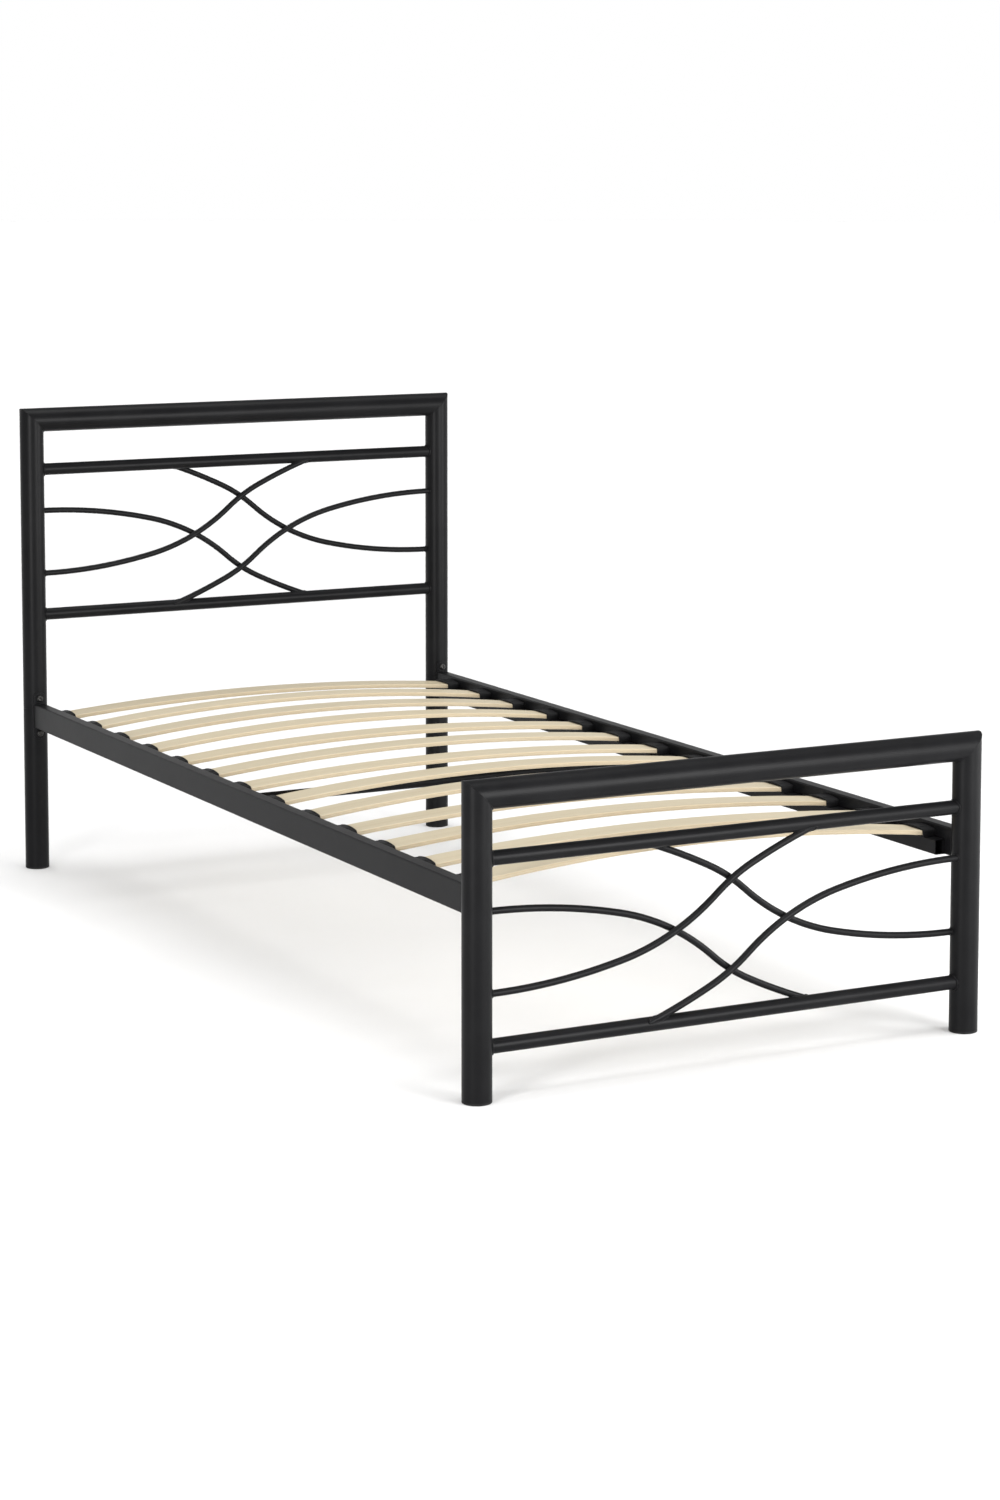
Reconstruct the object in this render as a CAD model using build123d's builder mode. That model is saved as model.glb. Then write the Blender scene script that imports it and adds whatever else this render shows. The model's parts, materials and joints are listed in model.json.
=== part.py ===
from build123d import *
import os
from math import asin, cos, degrees, radians, sin, sqrt

# Single metal bed frame: two welded end panels, two bolted side rails, a mid-length brace and
# thirteen bowed slats in plastic holders.
# Frame: origin on the floor under the middle of the bed, +X to the right seen from the foot,
# +Y towards the headboard, +Z up. Millimetres.

# Layout
POST_SPACING_X = 969.0
POST_SPACING_Y = 2057.0
POST_X = POST_SPACING_X / 2
POST_Y = POST_SPACING_Y / 2
SIDES = {"left": -1, "right": 1}
ENDS = {"foot": -1, "head": 1}

# Posts and top rails: one round tube size, mitred at the corners
POST_RADIUS = 25.4
POST_WALL = 1.5
POST_BORE = POST_RADIUS - POST_WALL

# Glides: a flange under the post and a ribbed stem pushed up into it
GLIDE_FLANGE = 4.0
GLIDE_EDGE_RADIUS = 1.5
GLIDE_STEM_WALL = 3.0
GLIDE_STEM_LENGTH = 16.0
GLIDE_RIB_THICKNESS = 2.5
GLIDE_RIB_HEIGHT = 12.0

# End panels: top rail, two crossbars and a lattice of four S-curved bars
TOP_RAIL_Z = {"foot": 510.0, "head": 970.0}
TOP_GAP = 106.5
LATTICE_GAP = 313.0
CROSSBAR_RADIUS = 12.7
CROSSBAR_WALL = 1.2
SCROLL_RADIUS = 6.0
SCROLL_START_HEIGHT = 223.5
SCROLL_STUB = 15.0
# The S-curve as tangent arcs from the post: radius, sweep in degrees, -1 to turn down and 1 to turn up
SCROLL_ARCS = ((1077.0, 13.3, -1), (420.0, 27.8, -1), (329.0, 15.3, 1), (1168.0, 7.0, 1))

# Headboard legs join the upper posts on an inner spigot
LEG_JOINT_Z = 349.5
LEG_JOINT_CHAMFER = 0.5
SPIGOT_CLEARANCE = 0.2
SPIGOT_RADIUS = POST_BORE - SPIGOT_CLEARANCE
SPIGOT_WALL = 2.0
SPIGOT_LENGTH = 110.0

# Side rails and the ledge tubes that carry the slat holders
RAIL_WIDTH = 25.4
RAIL_HEIGHT = 50.8
RAIL_WALL = 1.5
RAIL_CORNER = 3.0
RAIL_Z = 335.0
RAIL_INNER_X = POST_X - RAIL_WIDTH / 2
LEDGE_WIDTH = 20.0
LEDGE_HEIGHT = 27.0
LEDGE_BASE_STEP = 0.8
LEDGE_WALL = 1.5
LEDGE_CORNER = 2.0
LEDGE_END_GAP = 46.0
LEDGE_X = RAIL_INNER_X - LEDGE_WIDTH / 2
LEDGE_FACE_X = RAIL_INNER_X - LEDGE_WIDTH
LEDGE_TOP_Z = RAIL_Z - RAIL_HEIGHT / 2 + LEDGE_BASE_STEP + LEDGE_HEIGHT
LEDGE_Z = LEDGE_TOP_Z - LEDGE_HEIGHT / 2
TUBE_INNER_CORNER = 0.5

# Saddle plates weld to the rail ends and bolt to the posts above and below the rail
SADDLE_THICKNESS = 3.0
SADDLE_RADIUS = POST_RADIUS + SADDLE_THICKNESS
SADDLE_HEIGHT = 98.0
SADDLE_CORNER = 8.0
BOLT_OFFSET_Z = 37.5
BOLT_HOLE_RADIUS = 4.5
BOLT = {"radius": 4.0, "length": 20.0, "head_radius": 7, "head_height": 4.4, "key": 5.0, "key_depth": 2.6}
HEAD_TAPER = 28.0
NUT_ACROSS_FLATS = 13.0
NUT_THICKNESS = 6.5
NUT_CLEARANCE = 0.1

# Mid-length brace under the slats
BRACE_RADIUS = 10.0
BRACE_WALL = 1.5
BRACE_Z = 321.6
FLANGE_THICKNESS = 3.0
FLANGE_LENGTH = 52.0
FLANGE_HEIGHT = 22.0
FLANGE_CORNER = 5.0
SCREW_OFFSET_Y = 18.0
SCREW_HOLE_RADIUS = 3.3
SCREW = {"radius": 3.0, "length": 14.0, "head_radius": 5.2, "head_height": 3.3, "key": 4.0, "key_depth": 2}
INSERT_RADIUS = 4.5
INSERT_LENGTH = 9.0

# Slats: bent laminated wood, bowed upwards between the rails
SLAT_PITCH = 153.9
SLAT_WIDTH = 60.0
SLAT_THICKNESS = 8.5
SLAT_HALF_SPAN = 464.5
SLAT_END_Z = 347.2
SLAT_EDGE_RADIUS = 2.5
# Top of each slat at mid-span, foot to head: every laminated slat has taken its own bow
SLAT_CROWNS_Z = (377.6, 369.5, 371.4, 370.1, 377.1, 374.8, 370.0, 373.6, 371.9, 376.8, 376.9, 376.6, 369.8)
SLAT_COUNT = len(SLAT_CROWNS_Z)

# Slat holders: arched plastic pockets standing on the ledge, pegged through its top wall
HOLDER_WIDTH = 65.6
HOLDER_MOUTH_X = 444.0
HOLDER_BACK_GAP = 0.2
HOLDER_EAVES = 13.5
HOLDER_HEIGHT = 17.1
HOLDER_CORNER = 6.5
HOLDER_EDGE_RADIUS = 1.2
POCKET_WIDTH = 61.2
POCKET_FLOOR = 1.2
POCKET_HEIGHT = 11.6
POCKET_CORNER = 2.5
POCKET_BACK_X = 468.5
PEG_RADIUS = 4.0
PEG_LENGTH = 9.0
PEG_HOLE_RADIUS = 4.2

SLAT_POSITIONS = [SLAT_PITCH * (index - (SLAT_COUNT - 1) / 2) for index in range(SLAT_COUNT)]


def save(part, name):
    """Labels a finished piece and writes it as its own node."""
    part.label = name
    export_step(part, f"parts/{name}.step")


def level_plane(x, y, z):
    """Horizontal sketch plane at a height."""
    return Plane(origin=(x, y, z))


def cross_plane(x, y, z):
    """Sketch plane across the bed's X direction, local x along Y and local y along Z."""
    return Plane(origin=(x, y, z), x_dir=(0, 1, 0), z_dir=(1, 0, 0))


def end_plane(x, y, z, facing=1):
    """Sketch plane across the bed's Y direction, facing +Y or -Y."""
    return Plane(origin=(x, y, z), x_dir=(1, 0, 0), z_dir=(0, facing, 0))


def ring(radius, wall):
    """Round tube section on the current sketch plane."""
    Circle(radius)
    Circle(radius - wall, mode=Mode.SUBTRACT)


def box_section(width, height, wall, corner):
    """Rectangular tube section with rounded corners on the current sketch plane."""
    RectangleRounded(width, height, corner)
    inner_corner = max(corner - wall, TUBE_INNER_CORNER)
    RectangleRounded(width - 2 * wall, height - 2 * wall, inner_corner, mode=Mode.SUBTRACT)


def cut_post(x, y, radius, low, high):
    """Copes the current part to the outside of a post."""
    with BuildSketch(level_plane(x, y, low)) as outline:
        Circle(radius)
    extrude(outline.sketch, amount=high - low, mode=Mode.SUBTRACT)


def cut_bolt_hole(x, y, z, facing):
    """Bores one wall of the current upright tube, from its axis out to the rail side."""
    with BuildSketch(end_plane(x, y, z, facing)) as hole:
        Circle(BOLT_HOLE_RADIUS)
    extrude(hole.sketch, amount=2 * POST_RADIUS, mode=Mode.SUBTRACT)


def corner_plane(x, y, z, side):
    """Mitre plane of a post and its top rail; its normal points into the rail."""
    return Plane(origin=(x, y, z), x_dir=(0, 1, 0), z_dir=(-side, 0, 1))


def build_glide(name, x, y):
    """Plastic foot pushed into the end of a post."""
    with BuildPart() as glide:
        with BuildSketch(level_plane(x, y, 0)):
            Circle(POST_RADIUS)
        extrude(amount=GLIDE_FLANGE)
        fillet(glide.edges().group_by(Axis.Z)[0], radius=GLIDE_EDGE_RADIUS)
        with BuildSketch(level_plane(x, y, GLIDE_FLANGE)):
            ring(SPIGOT_RADIUS, GLIDE_STEM_WALL)
        extrude(amount=GLIDE_STEM_LENGTH)
        rib_length = 2 * SPIGOT_RADIUS - GLIDE_STEM_WALL
        with BuildSketch(level_plane(x, y, GLIDE_FLANGE)):
            Rectangle(rib_length, GLIDE_RIB_THICKNESS)
            Rectangle(GLIDE_RIB_THICKNESS, rib_length)
        extrude(amount=GLIDE_RIB_HEIGHT)
    save(glide.part, name)


def build_post(name, x, y, low, top_z, bolt_heights):
    """Round post with a mitred top and holes for the rail bolts."""
    side = 1 if x > 0 else -1
    facing = -1 if y > 0 else 1
    with BuildPart() as post:
        with BuildSketch(level_plane(x, y, low)):
            ring(POST_RADIUS, POST_WALL)
        extrude(amount=top_z + POST_RADIUS - low)
        split(bisect_by=corner_plane(x, y, top_z, side), keep=Keep.BOTTOM)
        if low > GLIDE_FLANGE:
            rim = post.edges().filter_by(GeomType.CIRCLE).group_by(Axis.Z)[0].sort_by(Edge.length)[-1]
            chamfer(rim, length=LEG_JOINT_CHAMFER)
        for z in bolt_heights:
            cut_bolt_hole(x, y, z, facing)
    save(post.part, name)


def build_leg(name, x, y):
    """Lower length of a headboard post."""
    with BuildPart() as leg:
        with BuildSketch(level_plane(x, y, GLIDE_FLANGE)):
            ring(POST_RADIUS, POST_WALL)
        extrude(amount=LEG_JOINT_Z - GLIDE_FLANGE)
        rim = leg.edges().filter_by(GeomType.CIRCLE).group_by(Axis.Z)[-1].sort_by(Edge.length)[-1]
        chamfer(rim, length=LEG_JOINT_CHAMFER)
        cut_bolt_hole(x, y, RAIL_Z - BOLT_OFFSET_Z, -1)
    save(leg.part, name)


def build_spigot(name, x, y):
    """Inner sleeve that joins a leg to its upper post."""
    with BuildPart() as spigot:
        with BuildSketch(level_plane(x, y, RAIL_Z - SPIGOT_LENGTH / 2)):
            ring(SPIGOT_RADIUS, SPIGOT_WALL)
        extrude(amount=SPIGOT_LENGTH)
        for z in (RAIL_Z - BOLT_OFFSET_Z, RAIL_Z + BOLT_OFFSET_Z):
            cut_bolt_hole(x, y, z, -1)
    save(spigot.part, name)


def build_top_rail(name, y, z):
    """Top tube of an end panel, mitred to both posts."""
    with BuildPart() as rail:
        with BuildSketch(cross_plane(-POST_X - POST_RADIUS, y, z)):
            ring(POST_RADIUS, POST_WALL)
        extrude(amount=POST_SPACING_X + 2 * POST_RADIUS)
        for side in SIDES.values():
            split(bisect_by=corner_plane(side * POST_X, y, z, side), keep=Keep.TOP)
    save(rail.part, name)


def build_crossbar(name, y, z):
    """Crossbar coped between the two posts of an end panel."""
    with BuildPart() as crossbar:
        with BuildSketch(cross_plane(-POST_X, y, z)):
            ring(CROSSBAR_RADIUS, CROSSBAR_WALL)
        extrude(amount=POST_SPACING_X)
        for side in SIDES.values():
            cut_post(side * POST_X, y, POST_RADIUS, z - POST_RADIUS, z + POST_RADIUS)
    save(crossbar.part, name)


def make_scroll_bar():
    """S-curved round bar about the middle of its lattice, from the left post to the lower crossbar."""
    start_z = SCROLL_START_HEIGHT - LATTICE_GAP / 2
    surface_x = -POST_X + POST_RADIUS
    with BuildPart() as bar:
        with BuildLine(end_plane(0, SCROLL_RADIUS, 0, -1)) as path:
            stub = Line((surface_x - SCROLL_STUB, start_z), (surface_x, start_z))
            point = stub @ 1
            heading = stub % 1
            for radius, sweep_angle, turn in SCROLL_ARCS:
                arc = JernArc(point, heading, radius, turn * sweep_angle)
                point = arc @ 1
                heading = arc % 1
        with BuildSketch(Plane(origin=path.line @ 0, z_dir=path.line % 0)):
            Circle(SCROLL_RADIUS)
        sweep()
        cut_post(-POST_X, 0, POST_RADIUS, -LATTICE_GAP, LATTICE_GAP)
        with BuildSketch(cross_plane(-POST_X, 0, -LATTICE_GAP / 2)):
            Circle(CROSSBAR_RADIUS)
        extrude(amount=POST_SPACING_X, mode=Mode.SUBTRACT)
    return bar.part


def build_end_panel(end, scroll_bar):
    """Top rail, crossbars and the four lattice bars of the headboard or the footboard."""
    y = ENDS[end] * POST_Y
    top_z = TOP_RAIL_Z[end]
    upper_z = top_z - TOP_GAP
    lower_z = upper_z - LATTICE_GAP
    build_top_rail(f"{end}_top_rail", y, top_z)
    build_crossbar(f"{end}_upper_crossbar", y, upper_z)
    build_crossbar(f"{end}_lower_crossbar", y, lower_z)
    # Half turns of one bar give all four; each layer of two touches the other at the crossings.
    centre = Pos(0, y, (upper_z + lower_z) / 2)
    save(centre * scroll_bar, f"{end}_scroll_left_falling")
    save(centre * Rot(X=180) * scroll_bar, f"{end}_scroll_left_rising")
    save(centre * Rot(Y=180) * scroll_bar, f"{end}_scroll_right_rising")
    save(centre * Rot(Z=180) * scroll_bar, f"{end}_scroll_right_falling")


def build_side_rail(name, side):
    """Rectangular side rail, coped at both ends to its saddle plates."""
    with BuildPart() as rail:
        with BuildSketch(end_plane(side * POST_X, -POST_Y, RAIL_Z)):
            box_section(RAIL_WIDTH, RAIL_HEIGHT, RAIL_WALL, RAIL_CORNER)
        extrude(amount=POST_SPACING_Y)
        for end in ENDS.values():
            cut_post(side * POST_X, end * POST_Y, SADDLE_RADIUS, RAIL_Z - RAIL_HEIGHT, RAIL_Z + RAIL_HEIGHT)
    save(rail.part, name)


def build_ledge(name, side):
    """Open-ended ledge tube along the inside of a rail, drilled for the holder pegs and the brace."""
    half_length = POST_Y - LEDGE_END_GAP
    with BuildPart() as ledge:
        with BuildSketch(end_plane(side * LEDGE_X, -half_length, LEDGE_Z)):
            box_section(LEDGE_WIDTH, LEDGE_HEIGHT, LEDGE_WALL, LEDGE_CORNER)
        extrude(amount=2 * half_length)
        with BuildSketch(level_plane(side * LEDGE_X, 0, LEDGE_Z)):
            with Locations([(0, y) for y in SLAT_POSITIONS]):
                Circle(PEG_HOLE_RADIUS)
        extrude(amount=LEDGE_HEIGHT, mode=Mode.SUBTRACT)
        with BuildSketch(cross_plane(side * LEDGE_X, 0, BRACE_Z)):
            with Locations((-SCREW_OFFSET_Y, 0), (SCREW_OFFSET_Y, 0)):
                Circle(INSERT_RADIUS)
        extrude(amount=-side * LEDGE_WIDTH, mode=Mode.SUBTRACT)
    save(ledge.part, name)


def build_saddle(name, x, y):
    """Curved plate at a rail end that wraps the post and takes two bolts."""
    facing = -1 if y > 0 else 1
    with BuildPart() as saddle:
        with BuildSketch(level_plane(x, y, RAIL_Z - SADDLE_HEIGHT / 2)):
            Circle(SADDLE_RADIUS)
            Circle(POST_RADIUS, mode=Mode.SUBTRACT)
        extrude(amount=SADDLE_HEIGHT)
        with BuildSketch(end_plane(x, y, RAIL_Z, facing)):
            RectangleRounded(RAIL_WIDTH, SADDLE_HEIGHT, SADDLE_CORNER)
        extrude(amount=2 * SADDLE_RADIUS, mode=Mode.INTERSECT)
        for z in (RAIL_Z - BOLT_OFFSET_Z, RAIL_Z + BOLT_OFFSET_Z):
            cut_bolt_hole(x, y, z, facing)
    save(saddle.part, name)


def add_socket_screw(plane, size):
    """Adds a button-head socket screw; the plane lies under its head with its normal out of the head."""
    with BuildSketch(plane) as head:
        Circle(size["head_radius"])
    extrude(head.sketch, amount=size["head_height"], taper=HEAD_TAPER)
    with BuildSketch(plane.offset(size["head_height"] - size["key_depth"])) as socket:
        RegularPolygon(size["key"] / 2, 6, major_radius=False)
    extrude(socket.sketch, amount=size["key_depth"], mode=Mode.SUBTRACT)
    with BuildSketch(plane) as shank:
        Circle(size["radius"])
    extrude(shank.sketch, amount=-size["length"])


def rail_bolt_places():
    """Post centre, bolt height and outward direction of each rail bolt."""
    heights = (RAIL_Z - BOLT_OFFSET_Z, RAIL_Z + BOLT_OFFSET_Z)
    return [
        (side * POST_X, end * POST_Y, z, -end)
        for end in ENDS.values()
        for side in SIDES.values()
        for z in heights
    ]


def build_rail_bolts(name):
    """Eight bolts that hold the rails to the posts."""
    with BuildPart() as bolts:
        for x, y, z, facing in rail_bolt_places():
            add_socket_screw(end_plane(x, y + facing * SADDLE_RADIUS, z, facing), BOLT)
    save(bolts.part, name)


def build_post_nuts(name):
    """Weld nuts inside the posts, one behind each rail bolt."""
    half_width = NUT_ACROSS_FLATS / 2 / cos(radians(30))
    with BuildPart() as nuts:
        for x, y, z, facing in rail_bolt_places():
            bore = POST_BORE if y < 0 else SPIGOT_RADIUS - SPIGOT_WALL
            face = sqrt(bore**2 - half_width**2) - NUT_CLEARANCE
            with BuildSketch(end_plane(x, y + facing * (face - NUT_THICKNESS), z, facing)):
                RegularPolygon(NUT_ACROSS_FLATS / 2, 6, major_radius=False)
                Circle(BOLT["radius"], mode=Mode.SUBTRACT)
            extrude(amount=NUT_THICKNESS)
    save(nuts.part, name)


def build_brace(name):
    """Round tube across the bed at mid-length."""
    half_length = LEDGE_FACE_X - FLANGE_THICKNESS
    with BuildPart() as brace:
        with BuildSketch(cross_plane(-half_length, 0, BRACE_Z)):
            ring(BRACE_RADIUS, BRACE_WALL)
        extrude(amount=2 * half_length)
    save(brace.part, name)


def build_brace_flange(name, side):
    """Plate on a brace end, screwed to the ledge's face."""
    with BuildPart() as flange:
        with BuildSketch(cross_plane(side * LEDGE_FACE_X, 0, BRACE_Z)):
            RectangleRounded(FLANGE_LENGTH, FLANGE_HEIGHT, FLANGE_CORNER)
            with Locations((-SCREW_OFFSET_Y, 0), (SCREW_OFFSET_Y, 0)):
                Circle(SCREW_HOLE_RADIUS, mode=Mode.SUBTRACT)
        extrude(amount=-side * FLANGE_THICKNESS)
    save(flange.part, name)


def brace_screw_planes(distance):
    """Planes facing the middle of the bed at each brace screw, at a distance from the mid-plane."""
    return [
        Plane(origin=(side * distance, y, BRACE_Z), x_dir=(0, 1, 0), z_dir=(-side, 0, 0))
        for side in SIDES.values()
        for y in (-SCREW_OFFSET_Y, SCREW_OFFSET_Y)
    ]


def build_brace_screws(name):
    """Four screws through the brace flanges."""
    with BuildPart() as screws:
        for plane in brace_screw_planes(LEDGE_FACE_X - FLANGE_THICKNESS):
            add_socket_screw(plane, SCREW)
    save(screws.part, name)


def build_brace_inserts(name):
    """Four threaded inserts in the ledge faces for the brace screws."""
    with BuildPart() as inserts:
        for plane in brace_screw_planes(LEDGE_FACE_X):
            with BuildSketch(plane):
                ring(INSERT_RADIUS, INSERT_RADIUS - SCREW["radius"])
            extrude(amount=-INSERT_LENGTH)
    save(inserts.part, name)


def build_slat(name, y, crown_z):
    """Bowed slat with rounded long edges, turned about the centre of its bow."""
    rise = crown_z - SLAT_END_Z
    bow_radius = (SLAT_HALF_SPAN**2 + rise**2) / (2 * rise)
    core_radius = bow_radius - SLAT_THICKNESS / 2
    half_angle = asin(SLAT_HALF_SPAN / bow_radius)
    bow_centre_z = crown_z - bow_radius
    end_section = Plane(
        origin=(-core_radius * sin(half_angle), y, bow_centre_z + core_radius * cos(half_angle)),
        x_dir=(0, 1, 0),
        z_dir=(cos(half_angle), 0, sin(half_angle)),
    )
    with BuildPart() as slat:
        with BuildSketch(end_section):
            RectangleRounded(SLAT_WIDTH, SLAT_THICKNESS, SLAT_EDGE_RADIUS)
        revolve(axis=Axis((0, y, bow_centre_z), (0, 1, 0)), revolution_arc=2 * degrees(half_angle))
    save(slat.part, name)


def build_holders(name, side):
    """Arched slat pockets along one rail, one for each slat end."""
    half_width = HOLDER_WIDTH / 2
    with BuildPart() as holder:
        with BuildSketch(cross_plane(side * HOLDER_MOUTH_X, 0, LEDGE_TOP_Z)) as section:
            with BuildLine():
                Line((-half_width, HOLDER_EAVES), (-half_width, 0))
                Line((-half_width, 0), (half_width, 0))
                Line((half_width, 0), (half_width, HOLDER_EAVES))
                ThreePointArc((half_width, HOLDER_EAVES), (0, HOLDER_HEIGHT), (-half_width, HOLDER_EAVES))
            make_face()
            fillet(section.vertices().group_by(Axis.Y)[-1], radius=HOLDER_CORNER)
        extrude(amount=side * (RAIL_INNER_X - HOLDER_BACK_GAP - HOLDER_MOUTH_X))
        mouth = holder.faces().sort_by(Axis.X)[-1 if side < 0 else 0]
        fillet(mouth.edges().filter_by(GeomType.CIRCLE), radius=HOLDER_EDGE_RADIUS)
        pocket_z = LEDGE_TOP_Z + POCKET_FLOOR + POCKET_HEIGHT / 2
        with BuildSketch(cross_plane(side * HOLDER_MOUTH_X, 0, pocket_z)):
            RectangleRounded(POCKET_WIDTH, POCKET_HEIGHT, POCKET_CORNER)
        extrude(amount=side * (POCKET_BACK_X - HOLDER_MOUTH_X), mode=Mode.SUBTRACT)
        with BuildSketch(level_plane(side * LEDGE_X, 0, LEDGE_TOP_Z)):
            Circle(PEG_RADIUS)
        extrude(amount=-PEG_LENGTH)
    save(Part() + [Pos(0, y, 0) * holder.part for y in SLAT_POSITIONS], name)


os.makedirs("parts", exist_ok=True)

lattice_bar = make_scroll_bar()

for end, end_sign in ENDS.items():
    build_end_panel(end, lattice_bar)
    for side, side_sign in SIDES.items():
        post_x = side_sign * POST_X
        post_y = end_sign * POST_Y
        build_glide(f"{end}_glide_{side}", post_x, post_y)
        build_saddle(f"rail_saddle_{end}_{side}", post_x, post_y)

for side, side_sign in SIDES.items():
    post_x = side_sign * POST_X
    low_bolt = RAIL_Z - BOLT_OFFSET_Z
    high_bolt = RAIL_Z + BOLT_OFFSET_Z
    build_post(f"foot_post_{side}", post_x, -POST_Y, GLIDE_FLANGE, TOP_RAIL_Z["foot"], (low_bolt, high_bolt))
    build_post(f"head_post_{side}", post_x, POST_Y, LEG_JOINT_Z, TOP_RAIL_Z["head"], (high_bolt,))
    build_leg(f"head_leg_{side}", post_x, POST_Y)
    build_spigot(f"head_spigot_{side}", post_x, POST_Y)
    build_side_rail(f"side_rail_{side}", side_sign)
    build_ledge(f"slat_ledge_{side}", side_sign)
    build_holders(f"slat_holders_{side}", side_sign)
    build_brace_flange(f"brace_flange_{side}", side_sign)

build_rail_bolts("rail_bolts")
build_post_nuts("post_nuts")
build_brace("centre_brace")
build_brace_screws("brace_screws")
build_brace_inserts("brace_inserts")

for number, (slat_y, slat_crown_z) in enumerate(zip(SLAT_POSITIONS, SLAT_CROWNS_Z), start=1):
    build_slat(f"slat_{number:02d}", slat_y, slat_crown_z)
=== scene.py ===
# Visual model of a black tubular metal bed frame with bowed wooden slats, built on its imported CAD.
# Frame: origin on the floor under the middle of the bed, +X right seen from the foot,
# +Y towards the headboard, +Z up. Metres.
import json
from math import asin, atan2, ceil, cos, pi, radians, sin, sqrt

import bmesh
import bpy
from mathutils import Matrix, Vector, noise


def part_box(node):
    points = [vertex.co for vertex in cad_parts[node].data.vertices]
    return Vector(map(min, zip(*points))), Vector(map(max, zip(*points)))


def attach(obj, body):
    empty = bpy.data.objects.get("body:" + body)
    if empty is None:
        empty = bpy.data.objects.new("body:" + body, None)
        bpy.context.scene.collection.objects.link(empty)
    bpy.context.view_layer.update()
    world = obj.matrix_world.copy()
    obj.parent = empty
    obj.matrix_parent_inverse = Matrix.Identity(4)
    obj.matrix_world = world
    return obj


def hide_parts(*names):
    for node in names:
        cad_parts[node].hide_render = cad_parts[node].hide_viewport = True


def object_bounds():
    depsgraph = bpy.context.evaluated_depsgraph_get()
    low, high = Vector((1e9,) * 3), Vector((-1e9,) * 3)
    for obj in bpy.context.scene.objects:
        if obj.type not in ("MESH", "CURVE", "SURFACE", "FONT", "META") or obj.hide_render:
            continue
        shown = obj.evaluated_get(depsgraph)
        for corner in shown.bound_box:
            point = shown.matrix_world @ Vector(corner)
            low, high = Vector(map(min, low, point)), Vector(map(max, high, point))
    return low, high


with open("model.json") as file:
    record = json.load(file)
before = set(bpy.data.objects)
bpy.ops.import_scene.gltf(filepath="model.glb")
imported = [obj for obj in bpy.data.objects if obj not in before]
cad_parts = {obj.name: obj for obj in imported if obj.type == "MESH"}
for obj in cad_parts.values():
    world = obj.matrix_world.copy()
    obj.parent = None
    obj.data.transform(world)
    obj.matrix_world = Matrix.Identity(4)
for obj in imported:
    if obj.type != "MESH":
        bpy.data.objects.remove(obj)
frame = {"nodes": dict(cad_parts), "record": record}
cad_low, cad_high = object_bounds()

SIDES = {"left": -1, "right": 1}
ENDS = {"foot": -1, "head": 1}
ROOT = "root"


# ---------------------------------------------------------------- places read from the CAD

def centre(node):
    low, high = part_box(node)
    return (low + high) / 2


def size(node):
    low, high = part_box(node)
    return high - low


POST_RADIUS = size("foot_post_left").x / 2
POST_X = centre("foot_post_right").x
POST_Y = centre("head_post_right").y
CROSSBAR_RADIUS = size("foot_upper_crossbar").z / 2
SCROLL_RADIUS = size("foot_scroll_left_falling").y / 2
LATTICE_GAP = centre("foot_upper_crossbar").z - centre("foot_lower_crossbar").z
SADDLE_SIZE = size("rail_saddle_head_left")
SADDLE_Z = centre("rail_saddle_head_left").z
SADDLE_RADIUS = POST_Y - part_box("rail_saddle_head_left")[0].y
RAIL_LOW, RAIL_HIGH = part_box("side_rail_right")
LEDGE_LOW, LEDGE_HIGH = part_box("slat_ledge_right")
BRACE_Z = centre("centre_brace").z
BRACE_RADIUS = size("centre_brace").z / 2
FLANGE_LOW, FLANGE_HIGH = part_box("brace_flange_right")
SLATS = [f"slat_{number:02d}" for number in range(1, 14)]
SLAT_Y = [centre(slat).y for slat in SLATS]
SLAT_CROWNS = [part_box(slat)[1].z for slat in SLATS]
SLAT_HALF_SPAN = size("slat_07").x / 2
SLAT_THICKNESS = 0.0085
SLAT_PLY = SLAT_THICKNESS / 5
# Height of a slat's upper face at its ends.
SLAT_END = 0.3472
# Brings the slats' rises into the 0..1 that a colour ramp can hold.
RISE_SCALE = 0.05


# ---------------------------------------------------------------- node materials

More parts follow.
